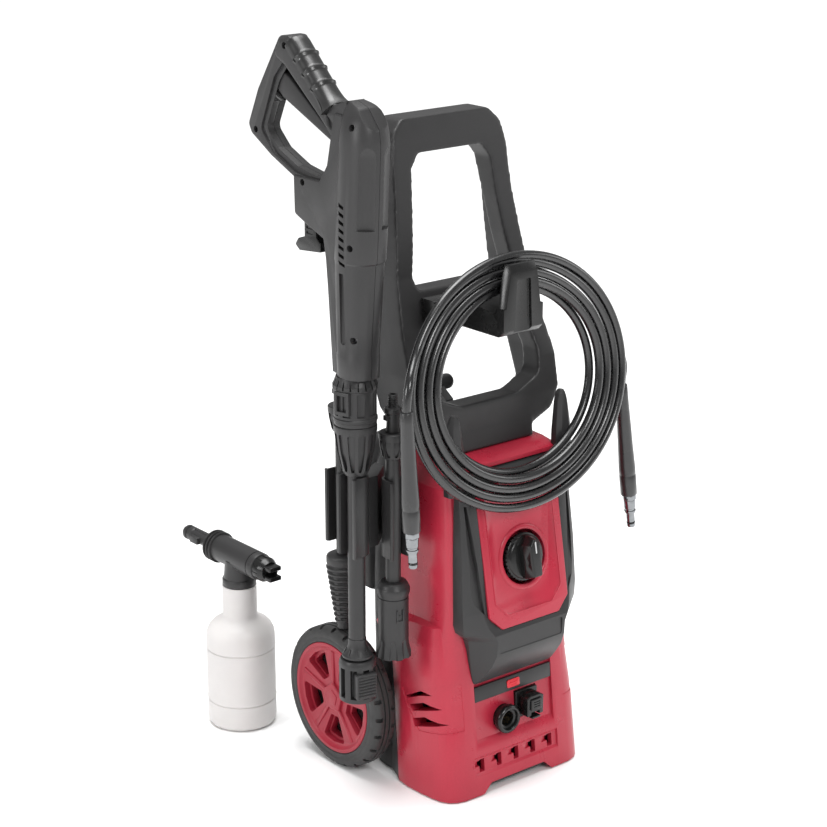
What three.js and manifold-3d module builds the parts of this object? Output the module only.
// Upright pressure washer with spray gun, three lances, hose and foam bottle.
// Millimetres. Z is up, the control panel faces -Y, and the accessories hang on the -X side.
// The model is drawn on the machine's own centre plane (X = 0), wheel axle (Y = 0) and floor
// (Z = 0). The last lines move it so that the origin is under the middle of its bounding box.

import * as THREE from 'three';
import { mergeVertices } from 'three/addons/utils/BufferGeometryUtils.js';
import Module from 'manifold-3d';

const wasm = await Module();
wasm.setup();

// ---------------------------------------------------------------- driving dimensions

const GAP = 0.3;                       // between faces that touch
const WALL = 3;                        // moulded shells

const WHEEL = { radius: 90, width: 34, outerX: 148, axleZ: 90, discRadius: 70.5, spokes: 5 };
const AXLE_RADIUS = 6;

const PANEL_LEAN = 10.5 * Math.PI / 180;   // the control panel leans back
const BAND_LEAN = 6.1 * Math.PI / 180;     // the lower front leans back
const KNOB = { z: 296, y: -184.5, radius: 29.5, recess: 33 };

const GUN = { x: -180, y: -95 };       // barrel axis of the gun and its working lance
const TURBO_LANCE = { x: -140, y: -113 };
const CONE_LANCE = { x: -130, y: -4 };
const TUBE = { gun: 10.2, turbo: 9, cone: 8 };   // outside radii of the lance tubes
const CLIP = { play: 1.1, wall: 3.4, lip: 13 };

const HOSE = { diameter: 10.5, sleeveTop: 7.6, sleeveRadius: 10.4 };
const COIL = {
  center: [2, -166.8, 508],
  radiusX: 170.5,                        // to the outside of the coil
  radiusZ: 151.5,
  wide: 50,                            // across the bundle of turns
  deep: 26,
  lean: 7.6 * Math.PI / 180,
};

const INLET = { x: -16, z: 88 };       // water in, on the lower front
const OUTLET = { x: 21, z: 97 };       // pressure hose out, beside it

const PUMP_Y = -85;                    // upright axis of the motor and the pump

const BOTTLE = { x: -158, y: 177, radius: 44, shoulder: 146, neckRadius: 22, neckTop: 188 };
const FOAM_AXIS_Z = 226;               // spray axis of the foam head

const COLOURS = {
  red: 0xa01328,
  charcoal: 0x2b2b2c,
  shell: 0x3c3c3e,
  black: 0x151515,
  rubber: 0x202020,
  steel: 0xb8bcc0,
  chrome: 0xd8dadc,
  brass: 0xb99a52,
  copper: 0xa8663a,
  milky: 0xe6e4e0,
};

// ---------------------------------------------------------------- geometry helpers

function toSolid(geometry) {
  const bare = geometry.clone();
  bare.deleteAttribute('normal');
  bare.deleteAttribute('uv');
  const merged = mergeVertices(bare, 1e-3);
  const mesh = new wasm.Mesh({
    numProp: 3,
    vertProperties: new Float32Array(merged.attributes.position.array),
    triVerts: new Uint32Array(merged.index.array),
  });
  return new wasm.Manifold(mesh);
}

function toGeometry(solid) {
  const mesh = solid.getMesh();
  const geometry = new THREE.BufferGeometry();
  geometry.setAttribute('position', new THREE.BufferAttribute(new Float32Array(mesh.vertProperties), 3));
  geometry.setIndex(Array.from(mesh.triVerts));
  return geometry;
}

const join = (...parts) => toGeometry(parts.map(toSolid).reduce((sum, next) => sum.add(next)));
const cut = (base, ...tools) => toGeometry(
  tools.map(toSolid).reduce((rest, tool) => rest.subtract(tool), toSolid(base)));
const meet = (...parts) => toGeometry(parts.map(toSolid).reduce((rest, next) => rest.intersect(next)));

const moved = (geometry, x, y, z) => geometry.clone().translate(x, y, z);
const mirrored = (geometry) => {
  const copy = geometry.index ? geometry.toNonIndexed() : geometry.clone();
  copy.scale(-1, 1, 1);
  const position = copy.attributes.position.array;
  for (let i = 0; i < position.length; i += 9) {
    for (let axis = 0; axis < 3; axis += 1) {
      [position[i + axis], position[i + 3 + axis]] = [position[i + 3 + axis], position[i + axis]];
    }
  }
  return copy;
};

// Corners are [x, y] or [x, y, fillet radius]; the result is a list of Vector2.
function outline(corners, steps = 2) {
  const points = [];
  corners.forEach(([x, y, radius = 0], i) => {
    const corner = new THREE.Vector2(x, y);
    if (!radius) {
      points.push(corner);
      return;
    }
    const [bx, by] = corners[(i + corners.length - 1) % corners.length];
    const [ax, ay] = corners[(i + 1) % corners.length];
    const back = new THREE.Vector2(bx - x, by - y).normalize();
    const ahead = new THREE.Vector2(ax - x, ay - y).normalize();
    const half = Math.acos(THREE.MathUtils.clamp(back.dot(ahead), -1, 1)) / 2;
    const reach = radius / Math.tan(half);
    const centre = back.clone().add(ahead).normalize().multiplyScalar(radius / Math.sin(half)).add(corner);
    const start = back.clone().multiplyScalar(reach).add(corner).sub(centre);
    const end = ahead.clone().multiplyScalar(reach).add(corner).sub(centre);
    const sweep = Math.atan2(start.cross(end), start.dot(end));
    for (let k = 0; k <= steps; k += 1) {
      points.push(start.clone().rotateAround(new THREE.Vector2(), sweep * k / steps).add(centre));
    }
  });
  return points;
}

const anticlockwise = (points) => (THREE.ShapeUtils.isClockWise(points) ? points.reverse() : points);

function prismZ(corners, low, high, holes = []) {
  const shape = new THREE.Shape(anticlockwise(outline(corners)));
  holes.forEach((hole) => shape.holes.push(new THREE.Path(outline(hole))));
  const geometry = new THREE.ExtrudeGeometry(shape, { depth: high - low, bevelEnabled: false });
  return geometry.translate(0, 0, low);
}

// The outline is in (Y, Z) and runs from X = low to X = high.
function prismX(corners, low, high, holes = []) {
  const turn = new THREE.Matrix4().makeBasis(
    new THREE.Vector3(0, 1, 0), new THREE.Vector3(0, 0, 1), new THREE.Vector3(1, 0, 0));
  return prismZ(corners, low, high, holes).applyMatrix4(turn);
}

// The outline is in (X, Z) and runs from Y = low to Y = high.
function prismY(corners, low, high, holes = []) {
  const turn = new THREE.Matrix4().makeBasis(
    new THREE.Vector3(1, 0, 0), new THREE.Vector3(0, 0, 1), new THREE.Vector3(0, -1, 0));
  return prismZ(corners, -high, -low, holes).applyMatrix4(turn);
}

// A closed profile of [radius, z] turned about Z.
function turned(profile, segments = 24) {
  const points = profile.map(([radius, z]) => new THREE.Vector2(radius, z));
  if (profile[0][0] > 0) {
    points.push(points[0].clone());
  }
  return new THREE.LatheGeometry(points, segments).rotateX(Math.PI / 2);
}

const rod = (radius, low, high, segments = 20) => turned(
  [[0, low], [radius, low], [radius, high], [0, high]], segments);
const pipe = (outer, inner, low, high, segments = 20) => turned(
  [[inner, low], [outer, low], [outer, high], [inner, high]], segments);
const block = (x0, x1, y0, y1, z0, z1) => new THREE.BoxGeometry(x1 - x0, y1 - y0, z1 - z0)
  .translate((x0 + x1) / 2, (y0 + y1) / 2, (z0 + z1) / 2);

// Turns what is drawn along Z to lie along X, or to face the front (+Z becomes -Y).
const alongX = (geometry) => geometry.clone().rotateY(Math.PI / 2);
const alongFront = (geometry) => geometry.clone().rotateX(Math.PI / 2);

function tube(points, radius, steps, sides = 8) {
  const path = new THREE.CatmullRomCurve3(points.map((p) => new THREE.Vector3(...p)));
  const section = new THREE.Shape();
  for (let i = 0; i < sides; i += 1) {
    const angle = 2 * Math.PI * i / sides;
    section[i ? 'lineTo' : 'moveTo'](radius * Math.cos(angle), radius * Math.sin(angle));
  }
  return new THREE.ExtrudeGeometry(section, { steps, extrudePath: path });
}

// Rings are [z, [[x, y], ...]] from low to high, each with the same number of corners,
// anticlockwise seen from above.
function loft(rings) {
  const count = rings[0][1].length;
  const position = rings.flatMap(([z, ring]) => ring.flatMap(([x, y]) => [x, y, z]));
  const index = [];
  for (let level = 0; level < rings.length - 1; level += 1) {
    for (let i = 0; i < count; i += 1) {
      const a = level * count + i;
      const b = level * count + (i + 1) % count;
      index.push(a, b, b + count, a, b + count, a + count);
    }
  }
  const cap = (level) => THREE.ShapeUtils.triangulateShape(
    rings[level][1].map(([x, y]) => new THREE.Vector2(x, y)), []);
  const top = (rings.length - 1) * count;
  cap(0).forEach(([a, b, c]) => index.push(a, c, b));
  cap(rings.length - 1).forEach(([a, b, c]) => index.push(top + a, top + b, top + c));
  const geometry = new THREE.BufferGeometry();
  geometry.setAttribute('position', new THREE.Float32BufferAttribute(position, 3));
  geometry.setIndex(index);
  return geometry;
}

// The right half of a ring, front to back, completed on the left.
const bothSides = (half) => [...half, ...half.map(([x, y]) => [-x, y]).reverse()];

const finish = {
  red: () => new THREE.MeshStandardMaterial({ color: COLOURS.red, roughness: 0.42 }),
  charcoal: () => new THREE.MeshStandardMaterial({ color: COLOURS.charcoal, roughness: 0.55 }),
  shell: () => new THREE.MeshStandardMaterial({ color: COLOURS.shell, roughness: 0.6 }),
  black: () => new THREE.MeshStandardMaterial({ color: COLOURS.black, roughness: 0.3 }),
  rubber: () => new THREE.MeshStandardMaterial({ color: COLOURS.rubber, roughness: 0.8 }),
  steel: () => new THREE.MeshStandardMaterial({ color: COLOURS.steel, roughness: 0.35, metalness: 1 }),
  chrome: () => new THREE.MeshStandardMaterial({ color: COLOURS.chrome, roughness: 0.12, metalness: 1 }),
  brass: () => new THREE.MeshStandardMaterial({ color: COLOURS.brass, roughness: 0.35, metalness: 1 }),
  copper: () => new THREE.MeshStandardMaterial({ color: COLOURS.copper, roughness: 0.45, metalness: 1 }),
  milky: () => new THREE.MeshStandardMaterial({ color: COLOURS.milky, roughness: 0.5 }),
};

const machine = new THREE.Group();

function add(name, geometry, material, x = 0, y = 0, z = 0) {
  const mesh = new THREE.Mesh(geometry, material);
  mesh.name = name;
  mesh.position.set(x, y, z);
  machine.add(mesh);
  return mesh;
}

// ---------------------------------------------------------------- casing

// Outer shape of the whole casing: [z, right half of the plan outline].
const CASING = [
  [1.5, [[60, -183], [88, -182], [105, -169], [112, -145], [115, -94], [102, -70], [91, -28], [86, -12]]],
  [100, [[62, -173], [86, -172], [103, -161], [110, -140], [113, -94], [101, -68], [91, -28], [86, -12]]],
  [125, [[62, -170], [84, -169], [99, -157], [107, -138], [111, -94], [100, -66], [91, -28], [86, -12]]],
  [155, [[62, -167], [80, -165], [93, -152], [102, -136], [108, -92], [100, -60], [92, -28], [86, -12]]],
  [190, [[62, -164], [78, -162], [90, -150], [98, -134], [105, -70], [102, -40], [98, -20], [84, -12]]],
  [218, [[62, -162], [78, -161], [90, -152], [96, -138], [99, -70], [99, -40], [97, -22], [84, -12]]],
  [240, [[62, -160], [80, -160], [92, -157], [96, -146], [98, -70], [98, -40], [96, -20], [84, -12]]],
  [388, [[62, -153], [80, -153], [90, -150], [95, -140], [95, -70], [94, -40], [92, -20], [80, -12]]],
  [397, [[60, -151], [76, -151], [84, -146], [88, -136], [89, -70], [89, -40], [87, -20], [78, -12]]],
  [418, [[58, -146], [72, -146], [77, -141], [80, -132], [82, -70], [82, -40], [80, -20], [72, -12]]],
];

const CASING_CENTRE_Y = -90;
// A casing outline moved inwards (or outwards when the distance is negative).
const inset = (half, distance) => half.map(([x, y]) => {
  const length = Math.hypot(x, y - CASING_CENTRE_Y);
  const scale = (length - distance) / length;
  return [x * scale, CASING_CENTRE_Y + (y - CASING_CENTRE_Y) * scale];
});

const casingOuter = loft(CASING.map(([z, half]) => [z, bothSides(half)]));
const casingClear = loft(CASING.map(([z, half]) => [z, bothSides(inset(half, -1.6 * GAP))]));
const CAVITY_LEVELS = [0, 3, 5, 7, 9];
const casingInner = loft(CAVITY_LEVELS.map((level) => {
  const [z, half] = CASING[level];
  return [z - WALL, bothSides(inset(half, 1.15 * WALL))];
}));

// The seam between the red front shell and the dark rear shell, from the floor up, in (Y, Z).
const SEAM = [[-86, 0], [-72, 60], [-68, 100], [-60, 150], [-44, 172], [-26, 189], [-52, 214], [-60, 232],
  [-60, 425]];

function frontHousing() {
  const front = prismX([[-240, 0], ...SEAM, [-240, 425]], -130, 130);
  const arch = prismY([[-58, -1], [58, -1], [43, 13], [-43, 13]], -200, -120);
  const sideVents = [0, 1, 2].flatMap((i) => {
    const corners = [[-160 + 4 * i, 121], [-118, 124], [-118, 118], [-156 + 4 * i, 115]];
    const slot = moved(prismX(corners, -125, -95), 0, 0, -16 * i);
    return [slot, mirrored(slot)];
  });
  const notches = [-2, -1, 0, 1, 2].map((i) => block(27.5 * i - 3.5, 27.5 * i + 3.5, -190, -171, 28, 46));
  const knobShaft = alongFront(rod(9, 0, 60, 12)).translate(0, -130, KNOB.z - 8);
  const inletHole = alongFront(rod(15.6, 0, 50, 16)).translate(INLET.x, -140, INLET.z);
  const outletHole = block(OUTLET.x - 18, OUTLET.x + 18, -200, -140, OUTLET.z - 18, OUTLET.z + 18);
  return cut(meet(casingOuter, front), casingInner, arch, ...sideVents, ...notches, knobShaft,
    inletHole, outletHole);
}

function rearHousing() {
  const rear = prismX([...SEAM.map(([y, z]) => [y + GAP + 0.4, z]), [60, 425], [60, 0]], -130, 130);
  const hump = loft([
    [226, bothSides([[96, -24], [92, 12], [78, 28], [50, 32]])],
    [380, bothSides([[91, -24], [87, 12], [74, 28], [48, 32]])],
    [414, bothSides([[80, -24], [77, 4], [66, 18], [44, 22]])],
  ]);
  const humpInner = loft([
    [229, bothSides([[93, -30], [89, 10], [76, 25], [48, 29]])],
    [380, bothSides([[88, -30], [84, 10], [72, 25], [46, 29]])],
    [411, bothSides([[77, -30], [74, 2], [64, 15], [42, 19]])],
  ]);
  const axleBosses = [-1, 1].map((side) => alongX(rod(17, 0, 60, 14))
    .translate(side > 0 ? 40 : -100, 0, WHEEL.axleZ));
  const axleWeb = block(-96, 96, -16, 4, WHEEL.axleZ - 14, WHEEL.axleZ + 14);
  const axleHole = alongX(rod(AXLE_RADIUS + GAP, -150, 150, 12)).translate(0, 0, WHEEL.axleZ);
  const shell = cut(join(meet(casingOuter, rear), hump), casingInner, humpInner);
  const slots = [0, 1, 2, 3].map((i) => block(-40, 40, 15, 45, 274 + 22 * i, 283 + 22 * i));
  const glandHole = alongFront(rod(8, -40, 20, 12)).translate(45, 20, 250);
  return cut(join(shell, axleWeb, ...axleBosses), axleHole, ...slots, glandHole);
}

function basePlate() {
  const half = [[58, -174], [82, -173], [97, -160], [104, -142], [108, -92], [95, -64], [82, -32],
    [79, -22]];
  return loft([[6, bothSides(half)], [9, bothSides(half)]]);
}

// ---------------------------------------------------------------- front bezel and panel

// Bezel rings: [z, outer half width, y of its outer edge, half width and y of its front].
const BEZEL = [
  [143, 62.5, -167.8, 58, -170],
  [158, 66, -168.5, 57, -183],
  [188, 71, -170, 54, -200.5],
  [205, 80, -171, 54, -201.5],
  [214, 94, -172, 58, -201.5],
  [224, 98.5, -172.5, 66, -197],
  [242, 100, -172.5, 72, -192],
  [300, 98, -169.5, 76, -184],
  [360, 95, -166, 76, -174],
  [392, 93, -162, 76, -167],
];

const bezelOuter = loft(BEZEL.map(([z, w, y, front, frontY]) => [z, [
  [-w, y], [-front, frontY], [front, frontY], [w, y], [w, -140], [-w, -140]]]));

// Panel outline in (X, Z) on the leaning front.
const PANEL = [[-45, 219], [45, 219], [62, 236], [64, 388, 6], [-64, 388, 6], [-62, 236]];
const panelOutline = (grow) => PANEL.map(([x, z, radius = 0]) => {
  const along = (z - KNOB.z) / Math.cos(PANEL_LEAN);
  return [x + Math.sign(x) * grow, along + Math.sign(along) * grow, radius && radius + grow];
});

function horn() {
  return loft([
    [388, [[70, -165], [96, -165], [96, -148], [70, -148]]],
    [430, [[72, -163], [97, -161], [95, -147], [72, -147]]],
    [470, [[76, -161], [92, -158], [90, -147], [76, -147]]],
    [479, [[80, -159], [88, -157], [87, -149], [80, -149]]],
  ]);
}

function onPanel(geometry) {
  return geometry.rotateX(-PANEL_LEAN).translate(0, KNOB.y, KNOB.z);
}

function frontBezel() {
  const opening = onPanel(prismY(panelOutline(GAP), -60, 60));
  return cut(join(bezelOuter, horn(), mirrored(horn())), opening, casingClear);
}

function controlPanel() {
  const plate = prismY(panelOutline(0), 0, 6);
  const frame = prismY([[-33, -56], [33, -56], [50, -40], [50, 62], [-50, 62], [-50, -40]], -1.6, 0.1);
  const rim = alongFront(pipe(39, KNOB.recess, -0.1, 2.4, 28));
  const bore = alongFront(rod(KNOB.recess, -10, 10, 28));
  return onPanel(cut(join(plate, frame, rim), bore));
}

function powerKnob() {
  const disc = alongFront(turned([[0, -2.5], [KNOB.radius, -2.5], [KNOB.radius, 3], [26, 6], [0, 6]], 24));
  const grip = prismY([[-8, -25, 3], [8, -25, 3], [9, 18, 3], [0, 27, 3], [-9, 18, 3]], -24, -5.5);
  return onPanel(join(disc, grip));
}

function switchBox() {
  return onPanel(join(block(-22, 22, 6.8, 18, -22, 22), alongFront(rod(6, -8, -3.5, 16))));
}

// ---------------------------------------------------------------- handle

// Front view (X, Z) of the handle's right half outside, and its two openings.
const HANDLE_TOP = 803;
const CHEEK_WALL = 9;
const HANDLE_RIGHT = [[66, HANDLE_TOP, 8], [81, 788, 10], [87, 760], [89, 711], [95, 662], [100, 627],
  [106, 570], [112, 515], [111, 470], [98, 446], [62, 430]];
const UPPER_OPENING = [[48, 762], [60, 746], [64, 700], [70, 655], [76, 622, 8], [70, 609, 6]];
const LOWER_OPENING = [[78, 562, 10], [86, 520, 10], [80, 490, 12], [44, 474, 14]];

const fromHalf = (half) => [...half, ...half.map(([x, z, r]) => [-x, z, r]).reverse()];

// Side view (Y, Z): front edge from the bottom up.
const HANDLE_FRONT = [[-124, 430], [-122, 470], [-114, 510], [-90, 565], [-72, 625], [-58, 700],
  [-47, 770], [-38, 803]];
const BAR_DEPTHS = [30, 30, 30, 30, 28, 28, 34, 36];       // at each of those heights
const CHEEK_DEPTHS = [60, 70, 78, 78, 64, 50, 38, 36];
const sideView = (depths) => {
  const back = HANDLE_FRONT.map(([y, z], i) => [y + depths[i], z]);
  return [...HANDLE_FRONT, ...back.reverse()];
};

function handleFrame() {
  const openings = [fromHalf(UPPER_OPENING), fromHalf(LOWER_OPENING)];
  const whole = prismY(fromHalf(HANDLE_RIGHT), -150, 60, openings);
  const frame = meet(whole, prismX(sideView(BAR_DEPTHS), -130, 130));
  const inside = HANDLE_RIGHT.slice(2, 9).map(([x, z]) => [x - CHEEK_WALL, z]);
  const rim = prismY(fromHalf(HANDLE_RIGHT), -150, 60,
    [fromHalf([[57, 784], [71, 769], ...inside, [89, 455], [58, 440]])]);
  const cheeks = meet(rim, prismX(sideView(CHEEK_DEPTHS), -130, 130));
  const neck = loft([
    [418.4, bothSides([[66, -128], [68, -60]])],
    [440, bothSides([[66, -124], [68, -60]])],
  ]);
  return join(frame, cheeks, neck);
}

function hoseHook() {
  const arm = prismX([[-76, 566], [-170, 566], [-178, 574], [-178, 600], [-168, 600], [-160, 592],
    [-82, 604]], -30, 30);
  const plate = loft([
    [574, [[-30, -178], [30, -178], [34, -168.5], [-34, -168.5]]],
    [640, [[-20, -178], [20, -178], [24, -168], [-24, -168]]],
    [650, [[-18, -176], [18, -176], [21, -169], [-21, -169]]],
  ]);
  const crossbar = prismX([[-94, 566], [-110, 566], [-110, 604], [-84, 604]], -76, 76);
  const recess = prismY([[-12, 560], [12, 560], [10, 630], [-10, 630]], -190, -174);
  const handleClear = [-GAP, GAP].map((y) => moved(handleFrameGeometry, 0, y, 0));
  return cut(join(arm, plate, crossbar), recess, ...handleClear);
}

function cordHook() {
  const stem = prismX([[-60, 452], [-34, 466], [-30, 474], [-36, 478], [-60, 468]], -10, 10);
  const bar = alongX(turned([[0, -19], [7, -19], [9.5, -15], [9.5, 15], [7, 19], [0, 19]], 14));
  return cut(join(stem, moved(bar, 0, -32, 475)), moved(handleFrameGeometry, 0, GAP, 0));
}

// ---------------------------------------------------------------- accessory bracket

// A channel around a lance tube. Its mouth faces +X and is turned to where the lance comes out.
function clip({ x, y }, tubeRadius, mouthAngle, low, high) {
  const inner = tubeRadius + CLIP.play;
  const outer = inner + CLIP.wall;
  const body = join(rod(outer, low, high, 16), block(0, CLIP.lip, -outer, outer, low, high));
  const channel = join(rod(inner, low - 1, high + 1, 16),
    block(0, 2 * outer, -inner, inner, low - 1, high + 1));
  return cut(body, channel).rotateZ(mouthAngle).translate(x, y, 0);
}

function accessoryBracket() {
  const turboClip = clip(TURBO_LANCE, TUBE.turbo, -Math.PI / 2, 311, 406);
  const coneClip = clip(CONE_LANCE, TUBE.cone, Math.PI, 294, 386);
  const gunClip = clip(GUN, TUBE.gun, Math.PI, 316, 376);
  const spine = prismZ([[-119, 6], [-119, -14], [-124, -60], [-129.5, -112], [-124, -112], [-117, -62],
    [-113, 6]], 311, 386);
  const arm = prismZ([[-124, -60], [-168, -88], [-168, -100], [-152, -100], [-124, -76]], 322, 372);
  const lug = block(-121, -90, -62, -44, 318, 380);
  return cut(join(turboClip, coneClip, gunClip, spine, arm, lug), casingClear);
}

// ---------------------------------------------------------------- wheels

function wheelDisc() {
  const half = WHEEL.width / 2;
  const face = turned([[0, -6], [65, -6], [65, 3 - half], [WHEEL.discRadius, 3 - half],
    [WHEEL.discRadius, half], [62, half - 4], [22, half - 6], [18, half - 1], [0, half - 1]], 28);
  const windows = Array.from({ length: WHEEL.spokes }, (_, i) => prismZ(
    [[24, -8], [57, -22], [60, 0], [57, 22], [24, 8]], -40, 40)
    .rotateZ((37 + 360 / WHEEL.spokes * i) * Math.PI / 180));
  return cut(face, ...windows, rod(AXLE_RADIUS, -40, 40, 12));
}

function wheelTyre() {
  const half = WHEEL.width / 2;
  const inner = WHEEL.discRadius + GAP;
  return turned([[inner, -half], [83, -half], [WHEEL.radius, 6 - half], [WHEEL.radius, half - 6], [83, half],
    [inner, half]], 28);
}

// ---------------------------------------------------------------- spray gun

// Side view of the gun (Y, Z). The barrel is upright and the grip leans back over it.
const GUN_BODY = [
  [-121, 534], [-125, 600], [-133, 668], [-137, 690], [-137, 815], [-126, 838, 6], [-100, 845, 8],
  [-78, 836], [-34, 872], [4, 904, 8], [20, 904, 10], [64, 838], [84, 796, 8], [78, 786],
  [40, 765], [-3, 747], [-6, 706, 5], [-22, 699], [-58, 686], [-62, 640], [-70, 534],
];
const GUN_OPENING = [[-74, 770, 6], [-40, 753, 4], [-5, 759], [31, 774], [54, 795, 6], [28, 850, 6],
  [10, 872, 6], [-70, 800]];
const TRIGGER = [[-68, 794], [24, 833], [44, 850, 6], [30, 866, 6], [12, 858], [-60, 808], [-68, 802]];

// The barrel's plan is a rounded box: [z, half width, half depth].
const GUN_BARREL = [[534, 21, 26], [600, 22, 29], [668, 24, 34], [672, 25, 37], [815, 25, 38],
  [838, 21, 30], [848, 14, 18]];
const oval = (a, b, count = 14) => Array.from({ length: count }, (_, i) => {
  const angle = 2 * Math.PI * (i + 0.5) / count;
  const power = 0.75;
  const c = Math.cos(angle);
  const s = Math.sin(angle);
  return [Math.sign(c) * a * Math.abs(c) ** power, Math.sign(s) * b * Math.abs(s) ** power];
});
const ovalLoft = (levels, shrink = 0) => loft(levels.map(([z, a, b]) => [z, oval(a - shrink, b - shrink)]))
  .translate(GUN.x, GUN.y - 4, 0);

function gunHalf(side) {
  const keep = side < 0
    ? block(GUN.x - 60, GUN.x - GAP / 2, -160, 120, 500, 930)
    : block(GUN.x + GAP / 2, GUN.x + 60, -160, 120, 500, 930);
  const plate = cut(prismX(GUN_BODY, GUN.x - 9, GUN.x + 9), prismX(GUN_OPENING, GUN.x - 20, GUN.x + 20));
  const blockPart = prismX([[-4, 749], [-5, 706, 5], [-22, 699], [-62, 684], [-62, 749]],
    GUN.x - 15, GUN.x + 15);
  const gripCore = prismX([[-70, 806], [-62, 834], [6, 900, 8], [20, 902, 8], [34, 880, 8], [12, 872]],
    GUN.x - 15, GUN.x + 15);
  const outside = join(plate, blockPart, gripCore, ovalLoft(GUN_BARREL));
  const bore = rod(12, 520, 790, 14).translate(GUN.x, GUN.y, 0);
  const hollow = ovalLoft([[640, 22, 28], [812, 24, 36], [830, 20, 28]], WALL);
  const triggerSlot = prismX([[-84, 768], [60, 836], [52, 862, 4], [30, 884, 6], [4, 884, 6],
    [-84, 812]], GUN.x - 8.5, GUN.x + 8.5);
  const releaseSlot = block(GUN.x - 8.3, GUN.x + 8.3, -46, -2, 660, 728);
  return cut(meet(outside, keep), bore, hollow, triggerSlot, releaseSlot);
}

function trigger() {
  return prismX(TRIGGER, GUN.x - 7.5, GUN.x + 7.5);
}

function gunGrip() {
  return prismX([[-70.3, 842.9], [-73, 846], [-37, 876], [-3, 904.6], [-0.3, 901.1], [-34.3, 872.4]],
    GUN.x - 13, GUN.x + 13);
}

function hoseRelease() {
  return prismX([[-14, 724], [-36, 724], [-36, 682], [-44, 676], [-44, 666], [-4, 662, 3], [4, 668, 2],
    [-2, 676], [-14, 680]], GUN.x - 8, GUN.x + 8);
}

// ---------------------------------------------------------------- lances and nozzles

function lanceCollar(low, high, lowRadius, highRadius, bore) {
  return turned([[bore, low], [lowRadius, low], [highRadius, high - 7], [highRadius, high],
    [bore, high]], 14);
}

const lanceTube = (radius, low, high) => pipe(radius, radius - 3, low, high, 14);

// The bayonet plug that goes into the gun, at the top of the lance's tube.
function lancePlug(low) {
  const body = turned([[3, low], [8.6, low], [7.4, low + 13], [7.4, low + 22], [10.2, low + 23],
    [10.2, low + 28.5], [5.6, low + 30], [5.6, low + 44.5], [3, low + 44.5]], 12);
  const lugs = [0, Math.PI].map((angle) => block(5, 12, -3, 3, low + 15, low + 21).rotateZ(angle));
  return join(body, ...lugs);
}

function turboNozzle() {
  return turned([[14, 185], [21.4, 185], [21.4, 190], [18, 200], [18, 262], [19.6, 267], [19.6, 272],
    [15, 279], [9.4, 279], [9.4, 236], [14, 236]], 14);
}

function coneNozzle() {
  const ribs = 6;
  const pitch = 12.5;
  const ribProfile = Array.from({ length: ribs }, (_, i) => {
    const z = 190 + i * pitch;
    const radius = 8.5 + i * 1.7;
    return [[radius, z], [radius + 2.8, z + pitch / 2]];
  }).flat();
  return turned([[3, 181], [8.5, 181], ...ribProfile, [20.6, 268], [20.6, 275], [16, 278], [3, 278]], 14);
}

// Turning ring of the fan nozzle, with a thumb patch on the front right.
function fanNozzle() {
  const body = turned([[0, 135], [22, 135], [22, 182], [20, 187], [0, 187]], 20);
  const patch = block(-13, 13, -27, -16, 143, 174).rotateZ(0.5);
  return cut(join(body, patch), rod(12, 130, 190, 16));
}

const nozzleCore = () => turned([[3, 138], [11.5, 138], [11.5, 188], [18, 188.4], [18, 192], [10.2, 205.5],
  [10.2, 212], [3, 212]], 16);

function gunCoupling() {
  const body = turned([[12.6, 476.4], [24.4, 476.4], [24.4, 518], [26, 520], [26, 524], [22, 533.4],
    [12.6, 533.4]], 18);
  const pocket = block(-26, -21, -8, 8, 486, 508).rotateZ(1);
  return cut(body, pocket);
}

// ---------------------------------------------------------------- foam bottle

function foamBottle() {
  const { radius, shoulder, neckRadius, neckTop } = BOTTLE;
  const outside = [[0, 0], [radius - 6, 0], [radius, 8], [radius, shoulder - 24],
    [radius - 8, shoulder - 9], [neckRadius, shoulder], [neckRadius, neckTop]];
  const inside = [[neckRadius - 2, neckTop], [neckRadius - 2, shoulder - 1], [radius - 10, shoulder - 11],
    [radius - 2, shoulder - 25], [radius - 2, 9], [radius - 7, 2], [0, 2]];
  return turned([...outside, ...inside], 20);
}

// The head's spray axis is drawn along X here and turned to the front in the assembly.
function foamHead() {
  const { neckRadius, neckTop } = BOTTLE;
  const collar = turned([[0, neckTop - 8], [neckRadius - 2.4, neckTop - 8],
    [neckRadius - 2.4, neckTop + GAP], [neckRadius - 1, neckTop + GAP], [neckRadius - 1, FOAM_AXIS_Z - 4],
    [0, FOAM_AXIS_Z - 4]], 20);
  const barrel = alongX(turned([[0, -118], [7, -118], [9.5, -114], [9.5, -96], [12, -58], [14, -44],
    [21, -44], [21, -34], [17.5, -34], [17.5, 50], [0, 50]], 14));
  const key = block(-112, -96, -12, -4, -7, 4);
  const top = join(barrel, key).translate(0, 0, FOAM_AXIS_Z);
  return cut(join(collar, top), rod(4, neckTop - 10, FOAM_AXIS_Z, 10));
}

function foamNozzle() {
  const body = alongX(turned([[0, 50.3], [16, 50.3], [16, 62], [12, 68], [0, 68]], 14));
  const lips = [[3, 9], [-10, -4]].map(([low, high]) => block(64, 80, -9, 9, low, high));
  return join(body, ...lips).translate(0, 0, FOAM_AXIS_Z);
}

// ---------------------------------------------------------------- hose

function hoseCoil() {
  const { radiusX, radiusZ, wide, lean, center } = COIL;
  const inner = radiusX - wide;
  const half = COIL.deep / 2;
  const section = outline([[inner, -half, 9], [radiusX, -half, 9], [radiusX, half, 9], [inner, half, 9]], 1);
  const ring = turned(section.map((p) => [p.x, p.y]), 32).scale(1, radiusZ / radiusX, 1);
  return ring.rotateX(Math.PI / 2 - lean).translate(...center);
}

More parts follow.
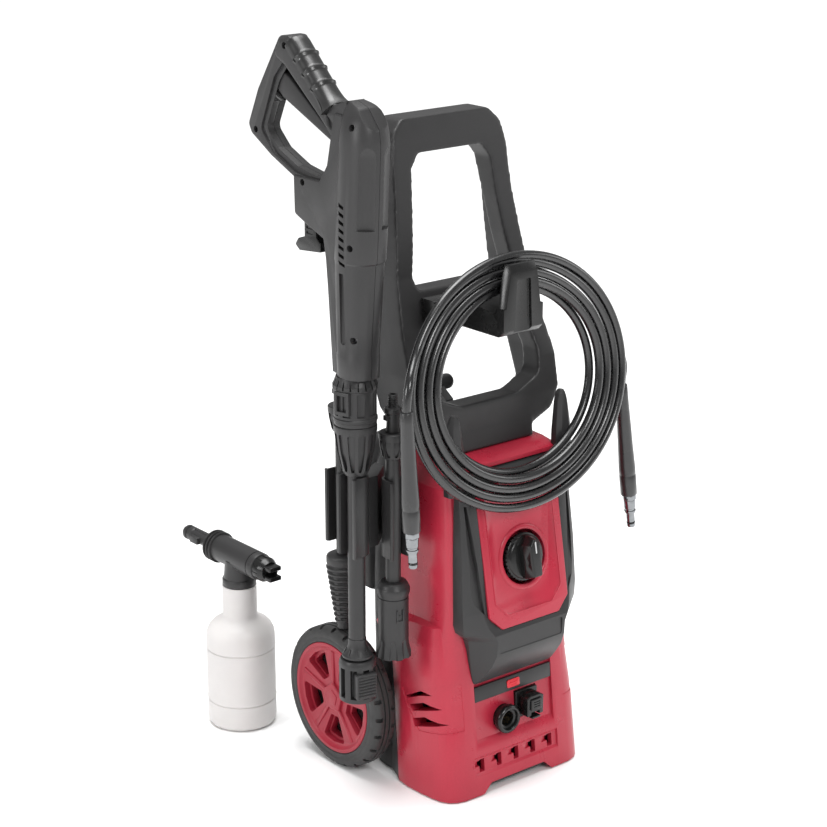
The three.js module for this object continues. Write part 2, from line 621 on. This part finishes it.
// Each end leaves the coil, runs into a long sleeve and ends in a metal plug.
const LEFT_LEAD = [[-163, -178, 566], [-171.5, -182, 545], [-176.5, -184, 527], [-178, -184, 511.5]];
const LEFT_SLEEVE = { top: [-178, -184, 511], bottom: [-170.5, -184, 368] };
const RIGHT_LEAD = [[178.3, -166, 516], [178.4, -165, 499], [178.5, -162, 483], [178.6, -160, 468.5]];
const RIGHT_SLEEVE = { top: [178.6, -160, 468], bottom: [198, -160, 322] };
const PLUG_LENGTH = 44;

const span = ({ top, bottom }) => new THREE.Vector3(...bottom).sub(new THREE.Vector3(...top));

// Geometry drawn downwards along -Z from the origin, hung along a sleeve's line.
function hang(geometry, sleeve, start) {
  const direction = span(sleeve).normalize();
  const turn = new THREE.Quaternion().setFromUnitVectors(new THREE.Vector3(0, 0, -1), direction);
  const at = new THREE.Vector3(...sleeve.top).addScaledVector(direction, start);
  return geometry.applyQuaternion(turn).translate(at.x, at.y, at.z);
}

function hoseSleeve(sleeve) {
  const length = span(sleeve).length();
  const hole = HOSE.diameter / 2 + 2 * GAP;
  const body = turned([[0, -length], [HOSE.sleeveRadius, -length], [HOSE.sleeveRadius, -length * 0.75],
    [HOSE.sleeveTop, -length * 0.1], [HOSE.sleeveTop, 0], [hole, 0], [hole, -20], [0, -20]], 10);
  return hang(body, sleeve, 0);
}

function quickPlug(sleeve) {
  const body = turned([[3, -PLUG_LENGTH], [5.3, -PLUG_LENGTH], [5.3, -27], [7.4, -23], [7.4, -7], [9, -6.5],
    [9, 0], [3, 0]], 12);
  return hang(body, sleeve, span(sleeve).length() + GAP);
}

// ---------------------------------------------------------------- internals

function motor() {
  const can = rod(44, 236, 366, 24);
  const fins = Array.from({ length: 4 }, (_, i) => block(40, 49, -3, 3, 246, 350).rotateZ(Math.PI / 2 * i));
  return cut(join(can, ...fins), rod(8, 200, 400, 12));
}

function motorShaft() {
  const shaft = rod(7.5, 221, 386, 12);
  const wobble = turned([[0, 206], [24, 206], [24, 214], [0, 222.5]], 16);
  return join(shaft, wobble);
}

function coolingFan() {
  const hub = pipe(13, 7.8, 372, 384, 12);
  const blades = Array.from({ length: 7 }, (_, i) => block(11, 40, -1.5, 1.5, -5, 5).rotateX(0.6)
    .translate(0, 0, 378).rotateZ(2 * Math.PI * i / 7));
  return join(hub, ...blades);
}

function pumpBlock() {
  const head = prismZ([[-30, -28, 6], [30, -28, 6], [30, 28, 6], [-30, 28, 6]], 122, 204);
  const valves = [0, 1, 2].map((i) => alongFront(rod(8.4, 0, 36, 12)).translate(-18 + 18 * i, 0, 186));
  return cut(join(head, ...valves), rod(10, 160, 210, 12));
}

function labelBand() {
  const plate = block(-63.4, 63.4, -1.6, 4, -9.2, 9.2).rotateX(-BAND_LEAN).translate(0, -170.6, 128);
  return cut(plate, casingClear);
}

function waterInlet() {
  const ring = turned([[9.5, 0], [15.2, 0], [15.2, 29], [17.4, 29], [17.4, 36], [14, 36], [9.5, 30]], 16);
  return alongFront(ring).translate(INLET.x, -148, INLET.z);
}

const inletNipple = () => alongFront(pipe(9.2, 6.4, -22, 22, 16)).translate(INLET.x, -148, INLET.z);

function outletCoupling() {
  const { x, z } = OUTLET;
  const frame = block(x - 17.4, x + 17.4, -171, -150, z - 17.4, z + 17.4);
  const nose = block(x - 12, x + 13, -188, -170, z - 12, z + 15);
  const buttonSlot = block(x - 7, x + 7, -190, -152, z - 15.6, z - 7);
  const bore = alongFront(turned([[0, 140], [6, 140], [6, 180], [5, 180], [5, 190], [0, 190]], 16));
  return cut(join(frame, nose), buttonSlot, moved(bore, x, 0, z + 4));
}

const couplingButton = () => block(
  OUTLET.x - 6.6, OUTLET.x + 6.6, -190, -160, OUTLET.z - 15.2, OUTLET.z - 12.4);

function foot() {
  return prismZ([[64, -176, 4], [86, -174, 6], [98, -160, 6], [94, -146, 4], [64, -150, 4]], 0, 5.7);
}

function outletPipe() {
  return tube([[18, -149, OUTLET.z], [18, -135, OUTLET.z], [18, -123, OUTLET.z + 20], [18, -123, 150],
    [18, -123, 176]], 4);
}

function inletPipe() {
  return tube([[INLET.x, -125.5, INLET.z], [INLET.x, -112, INLET.z], [INLET.x, -98, 100],
    [INLET.x, -98, 121]], 4);
}

function axle() {
  return alongX(rod(AXLE_RADIUS - GAP, -142, 142, 12)).translate(0, 0, WHEEL.axleZ);
}

function cableGland() {
  const body = turned([[3.5, -6], [7.6, -6], [7.6, 6], [12, 6], [12, 12], [5.5, 40], [3.5, 40]], 12);
  return body.rotateX(-Math.PI / 2).translate(45, 28, 250);
}

const valveBody = () => cut(rod(11.6, 600, 790, 14), rod(4, 590, 772, 10),
  alongFront(rod(2.7, -30, 3, 12)).translate(0, 0, 782)).translate(GUN.x, GUN.y, 0);
const valvePin = () => alongFront(rod(2.2, -24.5, 0, 12)).translate(GUN.x, GUN.y, 782);

// ---------------------------------------------------------------- assembly

const handleFrameGeometry = handleFrame();
const wheelX = WHEEL.outerX - WHEEL.width / 2;
const outward = (geometry, side) => geometry.clone().rotateY(side * Math.PI / 2);

add('front_housing', frontHousing(), finish.red());
add('rear_housing', rearHousing(), finish.shell());
add('base_plate', basePlate(), finish.charcoal());
add('left_foot', mirrored(foot()), finish.rubber());
add('right_foot', foot(), finish.rubber());
add('front_bezel', frontBezel(), finish.charcoal());
add('control_panel', controlPanel(), finish.red());
add('power_knob', powerKnob(), finish.charcoal());
add('switch_box', switchBox(), finish.black());
add('label_band', labelBand(), finish.charcoal());
add('water_inlet', waterInlet(), finish.charcoal());
add('inlet_nipple', inletNipple(), finish.brass());
add('outlet_coupling', outletCoupling(), finish.charcoal());
add('coupling_button', couplingButton(), finish.charcoal());
add('cable_gland', cableGland(), finish.charcoal());

add('motor', motor(), finish.steel(), 0, PUMP_Y);
add('motor_shaft', motorShaft(), finish.steel(), 0, PUMP_Y);
add('cooling_fan', coolingFan(), finish.charcoal(), 0, PUMP_Y);
add('pump_block', pumpBlock(), finish.brass(), 0, PUMP_Y);
add('capacitor', rod(15, 240, 306, 16), finish.black(), -70, -98);
add('outlet_pipe', outletPipe(), finish.copper());
add('inlet_pipe', inletPipe(), finish.charcoal());

add('handle_frame', handleFrameGeometry, finish.shell());
add('hose_hook', hoseHook(), finish.charcoal());
add('cord_hook', cordHook(), finish.charcoal());
add('accessory_bracket', accessoryBracket(), finish.charcoal());

add('axle', axle(), finish.steel());
[['left', -1], ['right', 1]].forEach(([name, side]) => {
  add(`${name}_wheel_disc`, outward(wheelDisc(), side), finish.red(), side * wheelX, 0, WHEEL.axleZ);
  add(`${name}_tyre`, outward(wheelTyre(), side), finish.rubber(), side * wheelX, 0, WHEEL.axleZ);
});

add('gun_shell_left', gunHalf(-1), finish.shell());
add('gun_shell_right', gunHalf(1), finish.shell());
add('gun_grip', gunGrip(), finish.rubber());
add('trigger', trigger(), finish.charcoal());
add('hose_release', hoseRelease(), finish.charcoal());
add('valve_body', valveBody(), finish.brass());
add('valve_pin', valvePin(), finish.steel());
add('gun_coupling', gunCoupling(), finish.charcoal(), GUN.x, GUN.y);

add('gun_lance_collar', lanceCollar(415, 475.8, 13.5, 25, TUBE.gun + GAP), finish.charcoal(), GUN.x, GUN.y);
add('gun_lance_tube', lanceTube(TUBE.gun, 212.4, 532), finish.charcoal(), GUN.x, GUN.y);
add('fan_nozzle_core', nozzleCore(), finish.charcoal(), GUN.x, GUN.y);
add('fan_nozzle_ring', fanNozzle(), finish.charcoal(), GUN.x, GUN.y);

const turbo = [TURBO_LANCE.x, TURBO_LANCE.y];
add('turbo_lance_collar', lanceCollar(431, 462.3, 12, 16.5, TUBE.turbo + GAP), finish.charcoal(), ...turbo);
const turboTube = join(lanceTube(TUBE.turbo, 237, 464), lancePlug(462.6));
add('turbo_lance_tube', turboTube, finish.charcoal(), ...turbo);
add('turbo_nozzle', turboNozzle(), finish.charcoal(), ...turbo);

const cone = [CONE_LANCE.x, CONE_LANCE.y];
add('cone_lance_collar', lanceCollar(434, 466.3, 11, 16.5, TUBE.cone + GAP), finish.charcoal(), ...cone);
const coneTube = join(lanceTube(TUBE.cone, 278.3, 468), lancePlug(466.6));
add('cone_lance_tube', coneTube, finish.charcoal(), ...cone);
add('cone_nozzle', coneNozzle(), finish.charcoal(), ...cone);

const bottle = [BOTTLE.x, BOTTLE.y];
add('foam_bottle', foamBottle(), finish.milky(), ...bottle);
add('foam_head', foamHead().rotateZ(-Math.PI / 2), finish.charcoal(), ...bottle);
add('foam_nozzle', foamNozzle().rotateZ(-Math.PI / 2), finish.charcoal(), ...bottle);
add('pickup_tube', rod(3.6, 8, FOAM_AXIS_Z - 6, 10), finish.milky(), ...bottle);

add('hose_coil', hoseCoil(), finish.black());
add('hose_lead_left', tube(LEFT_LEAD, HOSE.diameter / 2, 4), finish.black());
add('hose_lead_right', tube(RIGHT_LEAD, HOSE.diameter / 2, 4), finish.black());
[['left', LEFT_SLEEVE], ['right', RIGHT_SLEEVE]].forEach(([name, sleeve]) => {
  add(`hose_sleeve_${name}`, hoseSleeve(sleeve), finish.black());
  add(`hose_plug_${name}`, quickPlug(sleeve), finish.chrome());
});

// The origin goes under the middle of the machine. The loose hose is left out of the measure.
const LOOSE_HOSE = /^hose_(coil|lead|sleeve|plug)/;
const bounds = new THREE.Box3();
machine.children.filter((mesh) => !LOOSE_HOSE.test(mesh.name)).forEach((mesh) => bounds.expandByObject(mesh));
const middle = bounds.getCenter(new THREE.Vector3());
machine.position.set(-middle.x, -middle.y, -bounds.min.z);

export default machine;
